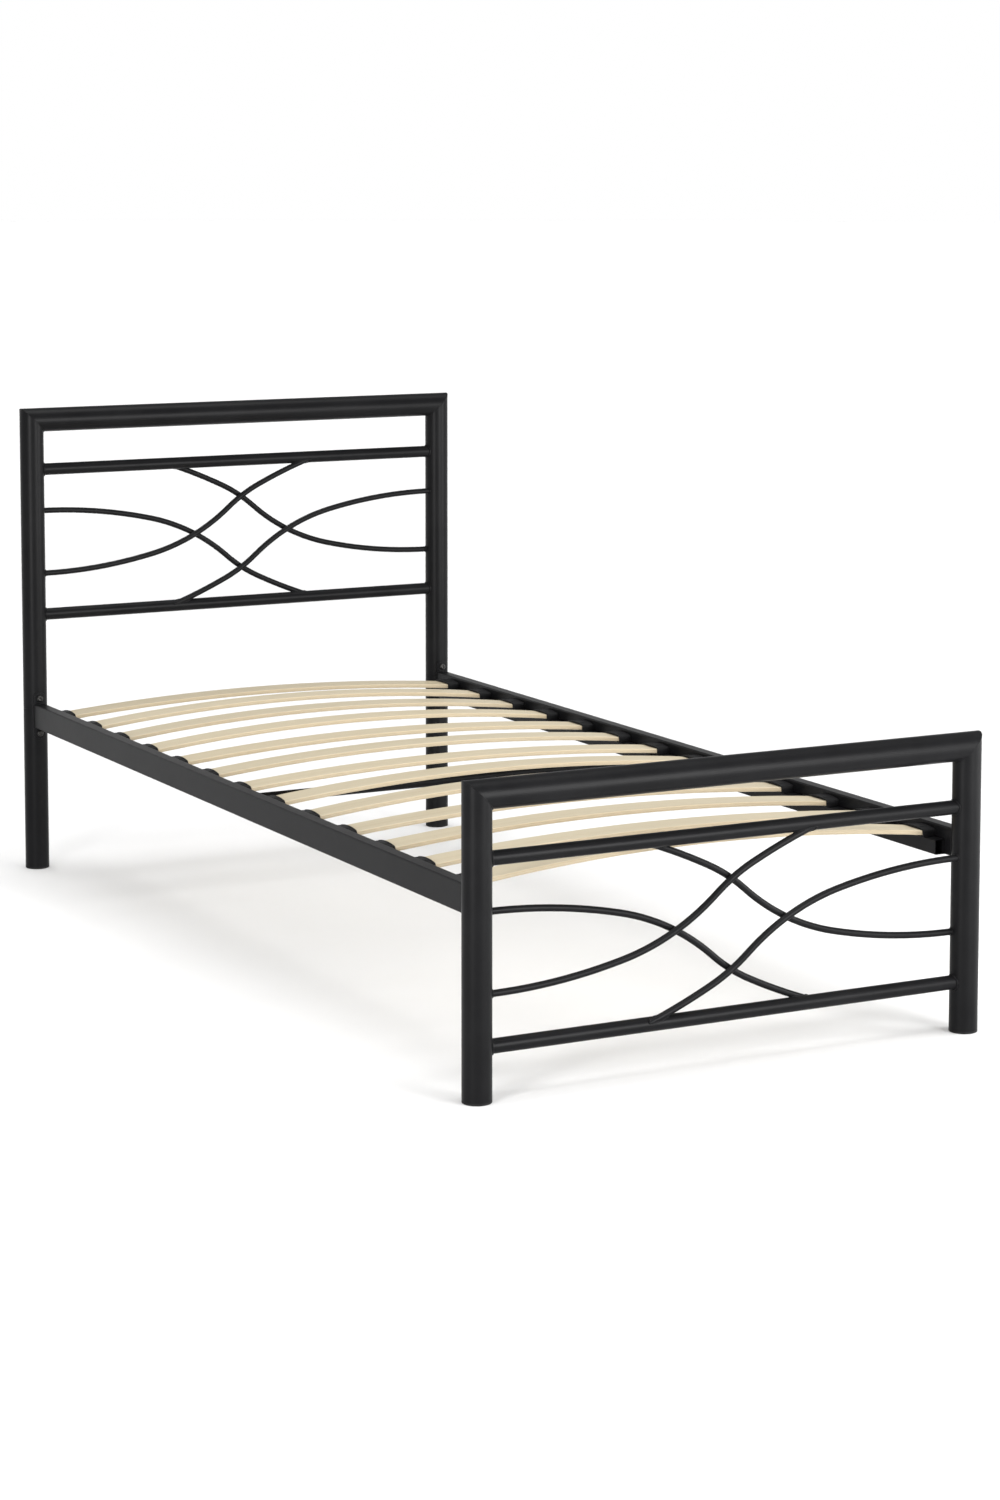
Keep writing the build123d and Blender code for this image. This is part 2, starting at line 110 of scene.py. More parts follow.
class Graph:
    """A Principled material with short calls for its nodes."""

    def __init__(self, name):
        self.material = bpy.data.materials.new(name)
        self.material.use_nodes = True
        self.nodes = self.material.node_tree.nodes
        self.links = self.material.node_tree.links
        self.shader = self.nodes["Principled BSDF"]
        self.object_point = self.nodes.new("ShaderNodeTexCoord").outputs["Object"]

    def put(self, socket, value):
        if isinstance(value, bpy.types.NodeSocket):
            self.links.new(value, socket)
        else:
            socket.default_value = value

    def math(self, operation, a, b=0.0):
        node = self.nodes.new("ShaderNodeMath")
        node.operation = operation
        for socket, value in zip(node.inputs, (a, b)):
            self.put(socket, value)
        return node.outputs[0]

    def separate(self, vector):
        node = self.nodes.new("ShaderNodeSeparateXYZ")
        self.put(node.inputs[0], vector)
        return node.outputs

    def combine(self, x, y, z):
        node = self.nodes.new("ShaderNodeCombineXYZ")
        for socket, value in zip(node.inputs, (x, y, z)):
            self.put(socket, value)
        return node.outputs[0]

    def stretch(self, vector, scale):
        node = self.nodes.new("ShaderNodeMapping")
        self.put(node.inputs["Vector"], vector)
        node.inputs["Scale"].default_value = scale
        return node.outputs[0]

    def noise(self, vector, scale, detail=2.0, roughness=0.5, distortion=0.0):
        node = self.nodes.new("ShaderNodeTexNoise")
        self.put(node.inputs["Vector"], vector)
        node.inputs["Scale"].default_value = scale
        node.inputs["Detail"].default_value = detail
        node.inputs["Roughness"].default_value = roughness
        node.inputs["Distortion"].default_value = distortion
        return node.outputs["Fac"]

    def ramp(self, value, stops, interpolation="LINEAR"):
        node = self.nodes.new("ShaderNodeValToRGB")
        self.put(node.inputs[0], value)
        node.color_ramp.interpolation = interpolation
        elements = node.color_ramp.elements
        while len(elements) < len(stops):
            elements.new(0.5)
        for element, (position, colour) in zip(elements, stops):
            element.position = position
            shade = (colour,) * 3 if isinstance(colour, float) else colour
            element.color = (*shade, 1.0)
        return node.outputs[0]

    def mix(self, factor, a, b, blend="MIX"):
        node = self.nodes.new("ShaderNodeMix")
        node.data_type = "RGBA"
        node.blend_type = blend
        self.put(node.inputs[0], factor)
        for socket, value in zip(node.inputs[6:8], (a, b)):
            self.put(socket, value if isinstance(value, bpy.types.NodeSocket) else (*value, 1.0))
        return node.outputs[2]

    def span(self, value, low, high):
        """Maps 0..1 to low..high."""
        node = self.nodes.new("ShaderNodeMapRange")
        self.put(node.inputs["Value"], value)
        node.inputs["To Min"].default_value = low
        node.inputs["To Max"].default_value = high
        return node.outputs[0]

    def bump(self, height, distance, strength=1.0, below=None):
        node = self.nodes.new("ShaderNodeBump")
        self.put(node.inputs["Height"], height)
        node.inputs["Distance"].default_value = distance
        node.inputs["Strength"].default_value = strength
        if below is not None:
            self.put(node.inputs["Normal"], below)
        return node.outputs[0]

    def normal_z(self):
        return self.separate(self.nodes.new("ShaderNodeNewGeometry").outputs["Normal"])["Z"]

    def finish(self, colour, roughness, normal, **uniform):
        self.put(self.shader.inputs["Base Color"], colour)
        self.put(self.shader.inputs["Roughness"], roughness)
        self.put(self.shader.inputs["Normal"], normal)
        for name, value in uniform.items():
            self.shader.inputs[name.replace("_", " ")].default_value = value
        return self.material


def powder_coat():
    """Satin black powder coat: fine orange peel, faint mottling, a little dust on what faces up."""
    g = Graph("powder_coat_black")
    p = g.object_point
    mottle = g.noise(p, 9.0, 4.0, 0.6)
    grit = g.noise(p, 2600.0, 2.0, 0.6)
    base = g.ramp(mottle, [(0.3, (0.0050, 0.0050, 0.0055)), (0.7, (0.0078, 0.0078, 0.0084))])
    speck = g.ramp(g.noise(p, 900.0, 2.0, 0.7), [(0.66, 0.0), (0.78, 1.0)])
    facing_up = g.math("MAXIMUM", g.normal_z(), 0.0)
    dust = g.math("MULTIPLY", g.math("MULTIPLY", facing_up, speck), g.span(mottle, 0.02, 0.12))
    colour = g.mix(dust, base, (0.22, 0.21, 0.19))
    peel = g.noise(p, 420.0, 2.0, 0.45)
    handling = g.span(g.noise(p, 55.0, 3.0, 0.6), -0.03, 0.03)
    rough = g.math("ADD", g.span(mottle, 0.31, 0.39), handling)
    rough = g.math("ADD", rough, g.math("MULTIPLY", dust, 0.9))
    normal = g.bump(peel, 0.0006, 0.16)
    normal = g.bump(grit, 0.0001, 0.20, normal)
    return g.finish(colour, rough, normal, Specular_IOR_Level=0.078)


def black_fastener():
    """Black oxide steel: dark metal, oily sheen, rubbed brighter here and there."""
    g = Graph("black_oxide_steel")
    p = g.object_point
    cloud = g.noise(p, 160.0, 4.0, 0.6)
    rubbed = g.ramp(g.noise(p, 700.0, 3.0, 0.65), [(0.58, 0.0), (0.74, 1.0)])
    colour = g.mix(g.math("MULTIPLY", rubbed, 0.5), (0.035, 0.034, 0.033), (0.10, 0.098, 0.094))
    rough = g.math("ADD", g.span(cloud, 0.28, 0.44), g.math("MULTIPLY", rubbed, -0.06))
    normal = g.bump(g.noise(p, 2200.0, 3.0, 0.6), 0.0001, 0.25)
    return g.finish(colour, rough, normal, Metallic=0.85)


def zinc_steel():
    """Zinc plate on the hidden nuts, inserts and sleeves."""
    g = Graph("zinc_plated_steel")
    p = g.object_point
    spangle = g.noise(p, 240.0, 4.0, 0.6)
    colour = g.ramp(spangle, [(0.3, (0.42, 0.43, 0.45)), (0.7, (0.60, 0.61, 0.62))])
    drawn = g.noise(g.stretch(p, (1500.0, 1500.0, 90.0)), 1.0, 2.0)
    return g.finish(colour, g.span(spangle, 0.28, 0.45), g.bump(drawn, 0.0001, 0.2), Metallic=1.0)


def slat_wood():
    """Lacquered birch veneer: long grain, pores, a shade for each slat, glue lines on edges."""
    g = Graph("slat_birch_veneer")
    x, y, z = g.separate(g.object_point)
    pitch = SLAT_Y[1] - SLAT_Y[0]
    slat_number = g.math("ROUND", g.math("DIVIDE", y, pitch))
    own = g.nodes.new("ShaderNodeTexWhiteNoise")
    own.noise_dimensions = "1D"
    g.put(own.inputs["W"], slat_number)
    own_value = own.outputs["Value"]
    sheet_x = g.math("ADD", x, g.math("MULTIPLY", own_value, 37.0))

    # Depth below the slat's upper face, which follows that slat's own bow.
    count = len(SLATS)
    place = g.math("DIVIDE", g.math("ADD", slat_number, count / 2), count)
    rises = [(i / count, (crown - SLAT_END) / RISE_SCALE) for i, crown in enumerate(SLAT_CROWNS)]
    rise = g.math("MULTIPLY", g.ramp(place, rises, "CONSTANT"), RISE_SCALE)
    across = g.math("DIVIDE", x, SLAT_HALF_SPAN)
    drop = g.math("MULTIPLY", rise, g.math("MULTIPLY", across, across))
    depth = g.math("SUBTRACT", g.math("ADD", rise, SLAT_END), g.math("ADD", z, drop))
    along = g.combine(sheet_x, y, depth)

    def grained(along_scale, across_scale, detail, roughness=0.55, distortion=0.0):
        stretched = g.stretch(along, (along_scale, across_scale, across_scale))
        return g.noise(stretched, 1.0, detail, roughness, distortion)

    bands = grained(0.9, 55.0, 3.0, 0.5, 0.6)
    fibre = grained(7.0, 900.0, 3.0)
    pores = g.ramp(grained(26.0, 1500.0, 2.0, 0.6), [(0.60, 0.0), (0.72, 1.0)])
    flame = grained(2.2, 24.0, 4.0, 0.6, 1.2)
    veneer = [
        (0.25, (0.460, 0.392, 0.268)),
        (0.50, (0.518, 0.461, 0.340)),
        (0.75, (0.491, 0.423, 0.302)),
    ]
    base = g.ramp(bands, veneer)
    base = g.mix(g.span(flame, 0.0, 0.35), base, (0.550, 0.502, 0.388))
    base = g.mix(g.span(fibre, 0.0, 0.25), base, (0.426, 0.332, 0.201))
    base = g.mix(g.math("MULTIPLY", pores, 0.25), base, (0.301, 0.218, 0.128))
    tints = [(0.0, (0.93, 0.92, 0.90)), (0.5, (1.0, 0.99, 0.97)), (1.0, (0.97, 0.95, 0.91))]
    base = g.mix(1.0, base, g.ramp(own_value, tints), "MULTIPLY")

    # Five plies: darker cross plies and thin glue lines, seen on the sawn long edges and ends.
    ply = g.math("DIVIDE", depth, SLAT_PLY)
    glue = g.ramp(g.math("PINGPONG", ply, 0.5), [(0.0, 1.0), (0.09, 0.0)])
    level = g.math("ABSOLUTE", g.normal_z())
    edge = g.ramp(level, [(0.30, 1.0), (0.55, 0.0)])
    cross_ply = g.math("PINGPONG", g.math("FLOOR", ply), 1.0)
    shade = g.math("ADD", g.math("MULTIPLY", cross_ply, 0.12), g.math("MULTIPLY", glue, 0.40))
    # Painted shade: sawn edge and arris are browned to damp the extra light the lamps give them.
    painted_edge_shade = g.ramp(level, [(0.60, 0.28), (0.975, 0.0)])
    shade = g.math("ADD", g.math("MULTIPLY", edge, shade), painted_edge_shade)
    colour = g.mix(shade, base, (0.30, 0.215, 0.125))
    grain_height = g.math("SUBTRACT", fibre, g.math("MULTIPLY", pores, 0.8))
    rough = g.math("ADD", g.span(fibre, 0.40, 0.52), g.math("MULTIPLY", edge, 0.14))
    return g.finish(
        colour, rough, g.bump(grain_height, 0.0003, 0.20),
        Specular_IOR_Level=0.25, Coat_Weight=0.05, Coat_Roughness=0.40,
    )


def moulded_plastic(name, dark, light, rough_low, rough_high, scuffed=False):
    """Moulded black plastic: spark-eroded texture, soft clouding, and scuffs low down if asked."""
    g = Graph(name)
    p = g.object_point
    cloud = g.noise(p, 60.0, 3.0, 0.6)
    texture = g.noise(p, 1900.0, 3.0, 0.7)
    colour = g.ramp(cloud, [(0.3, dark), (0.7, light)])
    rough = g.math("ADD", g.span(cloud, rough_low, rough_high), g.span(texture, -0.04, 0.04))
    if scuffed:
        streaks = g.noise(g.stretch(p, (90.0, 90.0, 1400.0)), 1.0, 3.0, 0.6)
        scratch = g.ramp(streaks, [(0.60, 0.0), (0.70, 1.0)])
        low_down = g.ramp(g.math("MULTIPLY", g.separate(p)["Z"], 250.0), [(0.0, 1.0), (0.8, 0.0)])
        scuff = g.math("MULTIPLY", scratch, low_down)
        colour = g.mix(g.math("MULTIPLY", scuff, 0.5), colour, (0.16, 0.155, 0.15))
        rough = g.math("ADD", rough, g.math("MULTIPLY", scuff, 0.2))
    return g.finish(colour, rough, g.bump(texture, 0.0002, 0.30), Specular_IOR_Level=0.09)


def pale_floor():
    """Matt white studio floor with the faintest mottling, paler towards the far backdrop."""
    g = Graph("studio_floor")
    p = g.object_point
    cloud = g.noise(p, 1.2, 4.0, 0.6)
    colour = g.ramp(cloud, [(0.3, (0.76, 0.76, 0.76)), (0.7, (0.78, 0.78, 0.78))])
    x, y, _ = g.separate(p)
    radius = g.math("SQRT", g.math("ADD", g.math("MULTIPLY", x, x), g.math("MULTIPLY", y, y)))
    backdrop = g.ramp(g.math("DIVIDE", radius, 12.0), [(0.3, 0.0), (0.8, 1.0)])
    colour = g.mix(backdrop, colour, (0.93, 0.93, 0.93))
    normal = g.bump(g.noise(p, 300.0, 2.0), 0.0002, 0.1)
    return g.finish(colour, g.span(cloud, 0.80, 0.86), normal, Specular_IOR_Level=0.1)


LOOKS = {
    "frame_black": powder_coat(),
    "bolt_black": black_fastener(),
    "bare_steel": zinc_steel(),
    "slat_wood": slat_wood(),
    "holder_plastic": moulded_plastic(
        "holder_plastic", (0.006, 0.006, 0.0065), (0.010, 0.010, 0.0105), 0.42, 0.54
    ),
    "glide_plastic": moulded_plastic(
        "glide_plastic", (0.010, 0.010, 0.010), (0.017, 0.017, 0.017), 0.45, 0.58, scuffed=True
    ),
}

for part in frame["record"]["subparts"]:
    materials = frame["nodes"][part["node"]].data.materials
    materials.clear()
    materials.append(LOOKS[part["material_slot"]])


# ---------------------------------------------------------------- mesh building

class Shape:
    """Vertices and faces gathered in loops, then made into one piece."""

    def __init__(self):
        self.points = []
        self.faces = []

    def loop(self, points):
        start = len(self.points)
        self.points.extend(Vector(p) for p in points)
        return list(range(start, len(self.points)))

    def bridge(self, a, b):
        """Joins two closed loops with the same number of points."""
        count = len(a)
        for i in range(count):
            j = (i + 1) % count
            self.faces.append((a[i], a[j], b[j], b[i]))

    def skin(self, rings):
        """Joins closed loops of points in order and closes both ends."""
        loops = [self.loop(ring) for ring in rings]
        for a, b in zip(loops, loops[1:]):
            self.bridge(a, b)
        self.faces.append(tuple(reversed(loops[0])))
        self.faces.append(tuple(loops[-1]))

    def hoop(self, rings):
        """Joins closed loops of points in order, and the last one to the first."""
        loops = [self.loop(ring) for ring in rings]
        for a, b in zip(loops, loops[1:] + loops[:1]):
            self.bridge(a, b)

    def make(self, name, slot, replaces=(), sharp=80.0):
        """The finished piece, on the root body. Edges sharper than an angle stay crisp."""
        mesh = bpy.data.meshes.new(name)
        mesh.from_pydata(self.points, [], self.faces)
        mesh.validate()
        turn_faces_outward(mesh)
        mesh.shade_smooth()
        mesh.set_sharp_from_angle(angle=radians(sharp))
        mesh.materials.append(LOOKS[slot])
        piece = bpy.data.objects.new(name, mesh)
        bpy.context.scene.collection.objects.link(piece)
        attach(piece, ROOT)
        if replaces:
            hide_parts(*replaces)


def turn_faces_outward(mesh):
    work = bmesh.new()
    work.from_mesh(mesh)
    bmesh.ops.recalc_face_normals(work, faces=work.faces)
    work.to_mesh(mesh)
    work.free()


def around(count):
    """Evenly spaced angles round a circle."""
    return [2 * pi * k / count for k in range(count)]


def fan(start, stop, steps):
    """Evenly spaced angles after start, up to and with stop."""
    return [start + (stop - start) * k / steps for k in range(1, steps + 1)]


def circle(middle, u, v, radius, angles):
    return [middle + (u * cos(a) + v * sin(a)) * radius for a in angles]


def rounded_outline(width, height, radius, corner_steps=8):
    """Closed outline of a rounded rectangle about its middle."""
    points = []
    for cx, cy, start in (
        (width / 2 - radius, height / 2 - radius, 0.0),
        (-width / 2 + radius, height / 2 - radius, pi / 2),
        (-width / 2 + radius, -height / 2 + radius, pi),
        (width / 2 - radius, -height / 2 + radius, 3 * pi / 2),
    ):
        for k in range(corner_steps + 1):
            a = start + pi / 2 * k / corner_steps
            points.append((cx + radius * cos(a), cy + radius * sin(a)))
    return points


def respaced(points, closed, step):
    """The same path with evenly spaced points, and its length."""
    path = [Vector(p) for p in points]
    if closed:
        path.append(path[0].copy())
    lengths = [0.0]
    for a, b in zip(path, path[1:]):
        lengths.append(lengths[-1] + (b - a).length)
    total = lengths[-1]
    count = max(8, ceil(total / step))
    result = []
    k = 0
    for i in range(count if closed else count + 1):
        s = total * i / count
        while k < len(lengths) - 2 and lengths[k + 1] < s:
            k += 1
        span = lengths[k + 1] - lengths[k]
        f = (s - lengths[k]) / span if span else 0.0
        result.append(path[k].lerp(path[k + 1], f))
    return result, total


# ---------------------------------------------------------------- weld beads

BEAD_STEP = 0.0008
BEAD_SIDES = 10
BEAD_PROUD = 0.18
BEAD_RIPPLE = 0.14
BEAD_UNEVENNESS = 0.10
RIPPLE_PITCH = 0.0021
CROSSBAR_BEAD = 0.0022
SCROLL_TO_POST_BEAD = 0.0016
SCROLL_TO_BAR_BEAD = 0.0015
RAIL_BEAD = 0.0017
RAIL_CORNER = 0.003
LEDGE_BEAD = 0.0022
LEDGE_BEAD_HALF_LENGTH = 0.015
BRACE_BEAD = 0.0017
TACK_RADIUS = 0.0038
TACK_FLATNESS = 0.75
SEAM_RADIUS = 0.0009
SEAM_FILLET = 0.0013


def bead_axes(before, after, out):
    """Directions across a path and up out of its corner."""
    tangent = (after - before).normalized()
    across = tangent.cross(out).normalized()
    return across, across.cross(tangent).normalized()


def add_bead(shape, points, radius, outward, closed=True):
    """A rippled bead along a path. outward(point) is the direction out of the corner there."""
    path, total = respaced(points, closed, BEAD_STEP)
    count = len(path)
    waves = max(1, round(total / RIPPLE_PITCH))
    rings = []
    for i, p in enumerate(path):
        before = path[i - 1] if closed or i else path[0]
        after = path[(i + 1) % count] if closed or i < count - 1 else path[-1]
        across, up = bead_axes(before, after, outward(p))
        phase = (i / count * waves) % 1.0
        swell = 1.0 + BEAD_RIPPLE * (1.0 - 2.0 * phase) * 0.5
        swell += BEAD_UNEVENNESS * noise.noise(p * 260.0)
        if not closed:
            to_end = min(i, count - 1 - i) * BEAD_STEP
            swell *= sqrt(min(1.0, (to_end + 0.0002) / (1.6 * radius)))
        middle = p + up * (BEAD_PROUD * radius)
        rings.append(circle(middle, across, up, radius * swell, around(BEAD_SIDES)))
    if closed:
        shape.hoop(rings)
    else:
        shape.skin(rings)


def crossbar_weld(shape, y, z, side):
    """Bead where a crossbar meets a post."""
    points = []
    for a in around(72):
        dy = CROSSBAR_RADIUS * cos(a)
        x = side * (POST_X - sqrt(POST_RADIUS**2 - dy**2))
        points.append((x, y + dy, z + CROSSBAR_RADIUS * sin(a)))

    def outward(p):
        radial = Vector((0, p.y - y, p.z - z)).normalized()
        return (radial + Vector((-side, 0, 0))).normalized()

    add_bead(shape, points, CROSSBAR_BEAD, outward)


# A lattice bar: radius, sweep in degrees and turn of each arc, from the post to the crossbar.
SCROLL_ARCS = ((1.077, 13.3, -1), (0.420, 27.8, -1), (0.329, 15.3, 1), (1.168, 7.0, 1))
# Height of its end at the post above the lower crossbar.
SCROLL_START = 0.2235
SCROLL_STEP = 0.001


def scroll_line():
    """Centre line of a lattice bar about the lattice's middle: x, z and heading in its plane."""
    z = SCROLL_START - LATTICE_GAP / 2
    x = -POST_X + POST_RADIUS
    heading = 0.0
    points = [(-POST_X, z, heading), (x, z, heading)]
    for radius, sweep, turn in SCROLL_ARCS:
        steps = ceil(radius * radians(sweep) / SCROLL_STEP)
        for _ in range(steps):
            half = radians(sweep) / steps / 2 * turn
            chord = 2 * radius * sin(abs(half))
            heading += half
            x += chord * cos(heading)
            z += chord * sin(heading)
            heading += half
            points.append((x, z, heading))
    return points


SCROLL_LINE = scroll_line()


def scroll_surface(index, a):
    x, z, heading = SCROLL_LINE[index]
    across = SCROLL_RADIUS * cos(a)
    return Vector((
        x - across * sin(heading), SCROLL_RADIUS + SCROLL_RADIUS * sin(a), z + across * cos(heading)
    ))


def first_outside(indices, a, inside):
    """Where the line along the bar's surface at angle a leaves a body."""
    last = None
    for index in indices:
        p = scroll_surface(index, a)
        if not inside(p):
            return p if last is None else (p + last) / 2
        last = p
    return last


def scroll_welds(shape, end, turn):
    """Both end beads of a lattice bar. turn carries the first bar's place to this one's."""
    middle_z = (centre(f"{end}_upper_crossbar").z + centre(f"{end}_lower_crossbar").z) / 2
    place = Matrix.Translation((0, ENDS[end] * POST_Y, middle_z)) @ turn
    to_local = place.inverted()
    facing = place.to_3x3()
    start_z = SCROLL_LINE[1][1]
    count = len(SCROLL_LINE)
    far_half = SCROLL_LINE[count // 2:]

    def in_bar(p):
        return (p.z + LATTICE_GAP / 2) ** 2 + p.y**2 < CROSSBAR_RADIUS**2

    post_side = []
    bar_side = []
    for a in around(60):
        dy = SCROLL_RADIUS + SCROLL_RADIUS * sin(a)
        x = -POST_X + sqrt(POST_RADIUS**2 - dy**2)
        post_side.append(Vector((x, dy, start_z + SCROLL_RADIUS * cos(a))))
        bar_side.append(first_outside(range(count - 1, count // 2, -1), a, in_bar))

    def out_of_post(p):
        local = to_local @ p
        radial = Vector((0, local.y - SCROLL_RADIUS, local.z - start_z)).normalized()
        post = Vector((local.x + POST_X, local.y, 0)).normalized()
        return facing @ (radial + post).normalized()

    def out_of_bar(p):
        local = to_local @ p
        x, z, _ = min(far_half, key=lambda q: (q[0] - local.x) ** 2 + (q[1] - local.z) ** 2)
        radial = Vector((local.x - x, local.y - SCROLL_RADIUS, local.z - z)).normalized()
        bar = Vector((0, local.y, local.z + LATTICE_GAP / 2)).normalized()
        return facing @ (radial + bar).normalized()

    add_bead(shape, [place @ p for p in post_side], SCROLL_TO_POST_BEAD, out_of_post)
    add_bead(shape, [place @ p for p in bar_side], SCROLL_TO_BAR_BEAD, out_of_bar)


def segment_crossing(a, b, c, d):
    """Where the segments ab and cd cross, or None."""
    abx, abz = b[0] - a[0], b[1] - a[1]
    cdx, cdz = d[0] - c[0], d[1] - c[1]
    acx, acz = c[0] - a[0], c[1] - a[1]
    det = abx * cdz - abz * cdx
    if abs(det) < 1e-14:
        return None
    s = (acx * cdz - acz * cdx) / det
    t = (acx * abz - acz * abx) / det
    if 0 <= s <= 1 and 0 <= t <= 1:
        return a[0] + s * abx, a[1] + s * abz
    return None


def crossing_points():
    """Where bars of the two layers cross, in the panel's plane about the lattice's middle."""
    line = [(x, z) for x, z, _ in SCROLL_LINE[1:]]
    reach = 3 * SCROLL_STEP
    found = []
    for flip_x, flip_z in ((1, -1), (-1, 1)):
        other = [(flip_x * x, flip_z * z) for x, z in line]
        for a, b in zip(line, line[1:]):
            for c, d in zip(other, other[1:]):
                if abs(c[0] - a[0]) <= reach and abs(c[1] - a[1]) <= reach:
                    crossing = segment_crossing(a, b, c, d)
                    if crossing:
                        found.append(crossing)
    places = []
    for x, z in found:
        for sx in (1, -1):
            for sz in (1, -1):
                if all((sx * x - px) ** 2 + (sz * z - pz) ** 2 > 1e-6 for px, pz in places):
                    places.append((sx * x, sz * z))
    return places


def add_tack(shape, middle, seed):
    """A small flattened weld spot between two bars that touch."""
    rings = []
    for k in range(1, 8):
        level = -cos(pi * k / 8)
        spread = sqrt(1 - level**2)
        ring = []
        for a in around(16):
            lump = Vector((cos(a), sin(a), level)) * 1.7 + Vector((seed, 0, 0))
            radius = TACK_RADIUS * (1 + 0.18 * noise.noise(lump))
            out = Vector((cos(a) * spread, level * TACK_FLATNESS, sin(a) * spread))
            ring.append(middle + out * radius)
        rings.append(ring)
    shape.skin(rings)


def inside_box(p):
    """The nearest point within the CAD's outermost faces."""
    return Vector(max(low, min(high, v)) for v, low, high in zip(p, cad_low, cad_high))


def mitre_weld(shape, y, z, side):
    """Dressed seam round a top corner: almost flush outside, a small fillet in the inner corner."""
    points = []
    for a in around(180):
        dx = POST_RADIUS * cos(a)
        points.append((side * POST_X + dx, y + POST_RADIUS * sin(a), z + side * dx))
    corner = Vector((side * POST_X, y, z))
    path, _ = respaced(points, True, BEAD_STEP)
    rings = []
    for i, p in enumerate(path):
        out = (p - corner).normalized()
        across, up = bead_axes(path[i - 1], path[(i + 1) % len(path)], out)
        # 0 on the outside of the corner, 1 on its inside.
        inner = 0.5 - 0.5 * side * (p.x - corner.x) / POST_RADIUS
        fillet = max(0.0, inner - 0.72) / 0.28
        radius = (SEAM_RADIUS + SEAM_FILLET * fillet) * (1 + 0.10 * noise.noise(p * 300.0))
        rise = -SEAM_RADIUS + 0.00028 + 0.0004 * fillet
        if inner < 0.06:
            rise -= 0.0004
        ring = circle(p + up * rise, across, up, radius, around(BEAD_SIDES))
        rings.append([inside_box(q) for q in ring])
    shape.hoop(rings)


def rail_weld(shape, side, end):
    """Bead round a side rail where it meets its saddle plate."""
    rail_z = (RAIL_LOW.z + RAIL_HIGH.z) / 2
    width = RAIL_HIGH.x - RAIL_LOW.x
    height = RAIL_HIGH.z - RAIL_LOW.z
    corners = [(u, w, 0) for u, w in rounded_outline(width, height, RAIL_CORNER)]
    outline, _ = respaced(corners, True, 0.001)
    towards_bed = -ENDS[end]
    post_y = ENDS[end] * POST_Y
    points = []
    for p in outline:
        y = post_y + towards_bed * sqrt(SADDLE_RADIUS**2 - p.x**2)
        points.append((side * POST_X + p.x, y, rail_z + p.y))
    middle = Vector((side * POST_X, post_y, rail_z))
    inner_x = width / 2 - 2 * RAIL_CORNER
    inner_z = height / 2 - 2 * RAIL_CORNER

    def outward(p):
        local = p - middle
        nearest_x = max(-inner_x, min(inner_x, local.x))
        nearest_z = max(-inner_z, min(inner_z, local.z))
        radial = Vector((local.x - nearest_x, 0, local.z - nearest_z)).normalized()
        return (radial + Vector((0, towards_bed, 0))).normalized()

    add_bead(shape, points, RAIL_BEAD, outward)


def ledge_welds(shape, side):
    """Stitch welds between a ledge tube and its rail, above between the holders and below."""
    x = side * RAIL_LOW.x
    for z, up in ((LEDGE_HIGH.z, 1), (LEDGE_LOW.z + 0.0006, -1)):
        lean = Vector((-side, 0, up)).normalized()
        for a, b in zip(SLAT_Y[::2], SLAT_Y[1::2]):
            y = (a + b) / 2
            points = [(x, y + dy, z) for dy in (-LEDGE_BEAD_HALF_LENGTH, LEDGE_BEAD_HALF_LENGTH)]
            add_bead(shape, points, LEDGE_BEAD, lambda _, lean=lean: lean, closed=False)


def brace_weld(shape, side):
    """Bead round the brace where it meets its end plate."""
    x = side * FLANGE_LOW.x
    points = [(x, BRACE_RADIUS * cos(a), BRACE_Z + BRACE_RADIUS * sin(a)) for a in around(60)]

    def outward(p):
        radial = Vector((0, p.y, p.z - BRACE_Z)).normalized()
        return (radial + Vector((-side, 0, 0))).normalized()

    add_bead(shape, points, BRACE_BEAD, outward)


# The four bars of a lattice: left falling, left rising, right rising and right falling.
SCROLL_TURNS = [Matrix.Identity(4)] + [Matrix.Rotation(pi, 4, axis) for axis in "XYZ"]
CROSSINGS = crossing_points()

for end, end_sign in ENDS.items():
    y = end_sign * POST_Y
    upper_z = centre(f"{end}_upper_crossbar").z
    lower_z = centre(f"{end}_lower_crossbar").z
    welds = Shape()
    for side in SIDES.values():
        crossbar_weld(welds, y, upper_z, side)
        crossbar_weld(welds, y, lower_z, side)
    for turn in SCROLL_TURNS:
        scroll_welds(welds, end, turn)
    for number, (x, dz) in enumerate(CROSSINGS):
        add_tack(welds, Vector((x, y, (upper_z + lower_z) / 2 + dz)), number * 3.1)
    welds.make(f"{end}_panel_welds", "frame_black")
    seams = Shape()
    for side in SIDES.values():
        mitre_weld(seams, y, centre(f"{end}_top_rail").z, side)
    seams.make(f"{end}_mitre_seams", "frame_black")

for name, side in SIDES.items():
    welds = Shape()
    for end in ENDS:
        rail_weld(welds, side, end)
    ledge_welds(welds, side)
    brace_weld(welds, side)
    welds.make(f"rail_welds_{name}", "frame_black")


# ---------------------------------------------------------------- bolts and screws

RAIL_BOLT = {
    "head_radius": 0.007, "head_height": 0.0044, "key": 0.005, "key_depth": 0.0026,
    "shank_radius": 0.004, "shank_length": 0.020,
}
BRACE_SCREW = {
    "head_radius": 0.0052, "head_height": 0.0033, "key": 0.004, "key_depth": 0.002,
    "shank_radius": 0.003, "shank_length": 0.014,
}
HEAD_RIM = 0.0008
HEAD_CHAMFER = 0.0003


def hex_radius(a, across_flats):
    return across_flats / 2 / cos((a + pi / 6) % (pi / 3) - pi / 6)


